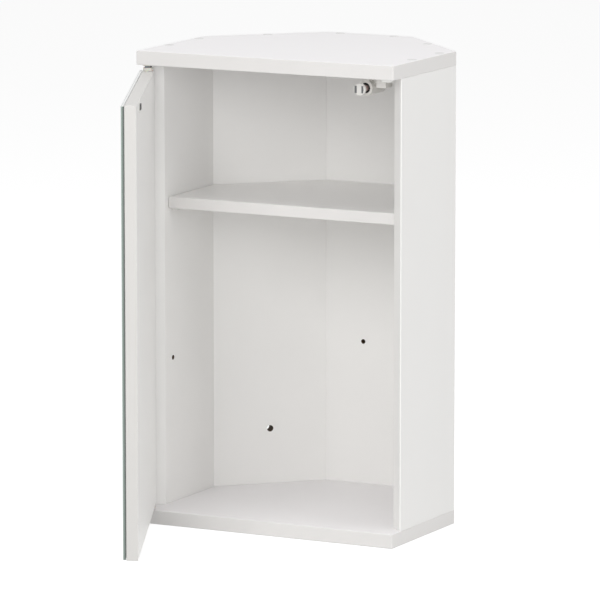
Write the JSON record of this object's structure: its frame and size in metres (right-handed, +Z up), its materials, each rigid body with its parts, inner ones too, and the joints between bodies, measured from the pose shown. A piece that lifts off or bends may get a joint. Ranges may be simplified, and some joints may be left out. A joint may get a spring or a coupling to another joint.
{
  "type": "corner medicine cabinet",
  "caption": "White hexagonal wall cabinet for a room corner, with a pivoting mirror door, a loose shelf on pins and a magnetic push latch.",
  "frame": {"origin": "on the underside of the bottom board, on the left-right centre line, halfway between the board's front edge and the back panel", "axes": "+X to the right seen from the front, +Y to the back (the room's corner), +Z up"},
  "size_m": [0.3005, 0.4994, 0.5003],
  "materials": {
    "carcass_board": "white lacquered board, satin",
    "shelf_board": "white lacquered board, satin",
    "door_board": "white lacquered board, satin",
    "mirror": "silvered float glass, ground arris",
    "adhesive": "foam film, matt",
    "pin_steel": "drawn steel, plain",
    "pin_white": "moulded nylon, satin",
    "screw_zinc": "bright zinc plate",
    "screw_black": "black oxide",
    "cap_white": "moulded, satin",
    "dowel_beech": "turned, bare",
    "bush_nylon": "moulded nylon, satin",
    "latch_white": "moulded, satin",
    "sleeve_black": "moulded acetal, satin",
    "plunger_brown": "moulded acetal, satin",
    "tip_white": "moulded, gloss",
    "magnet_ferrite": "pressed ferrite, matt",
    "pole_steel": "stamped steel, plain",
    "spring_steel": "drawn wire",
    "strike_white": "moulded, satin",
    "strike_steel": "stamped steel, plain",
    "pad_clear": "soft moulded pad, satin"
  },
  "bodies": {
    "cabinet": {"top_panel": "carcass_board", "bottom_panel": "carcass_board", "left_side_panel": "carcass_board", "right_side_panel": "carcass_board", "left_wall_panel": "carcass_board", "right_wall_panel": "carcass_board", "back_panel": "carcass_board", "shelf_pins": "pin_white", "top_screws": "screw_zinc", "bottom_screws": "screw_zinc", "screw_caps": "cap_white", "corner_dowels": "dowel_beech", "top_panel_bush": "bush_nylon", "bottom_panel_bush": "bush_nylon", "top_pivot_pin": "pin_steel", "bottom_pivot_pin": "pin_steel", "latch_bracket": "latch_white", "latch_sleeve": "sleeve_black", "latch_screws": "screw_zinc", "latch_spring": "spring_steel", "top_stop_pad": "pad_clear"},
    "door": {"door_board": "door_board", "mirror_glass": "mirror", "mirror_adhesive": "adhesive", "door_top_bush": "bush_nylon", "door_bottom_bush": "bush_nylon", "strike_disc": "strike_white", "strike_plate": "strike_steel", "strike_screw": "screw_black"},
    "latch_plunger": {"latch_plunger": "plunger_brown", "latch_tip": "tip_white", "latch_magnet": "magnet_ferrite", "latch_poles": "pole_steel"},
    "shelf": {"shelf": "shelf_board"}
  },
  "joints": [
    {"name": "door_hinge", "type": "hinge", "parent": "cabinet", "child": "door", "pos_m": [-0.14, -0.1131, 0.25], "axis": [0, 0, 1], "range_deg": [-85.3, 64.7]},
    {"name": "latch_push", "type": "slide", "parent": "cabinet", "child": "latch_plunger", "axis": [0, 1, 0], "range_m": [0, 0.0025], "stiffness_N_per_m": 400, "springref_m": -0.003, "deforming": ["latch_spring"]},
    {"name": "shelf_lift", "type": "slide", "parent": "cabinet", "child": "shelf", "axis": [0, 0, 1], "range_m": [0, 0.1]}
  ]
}
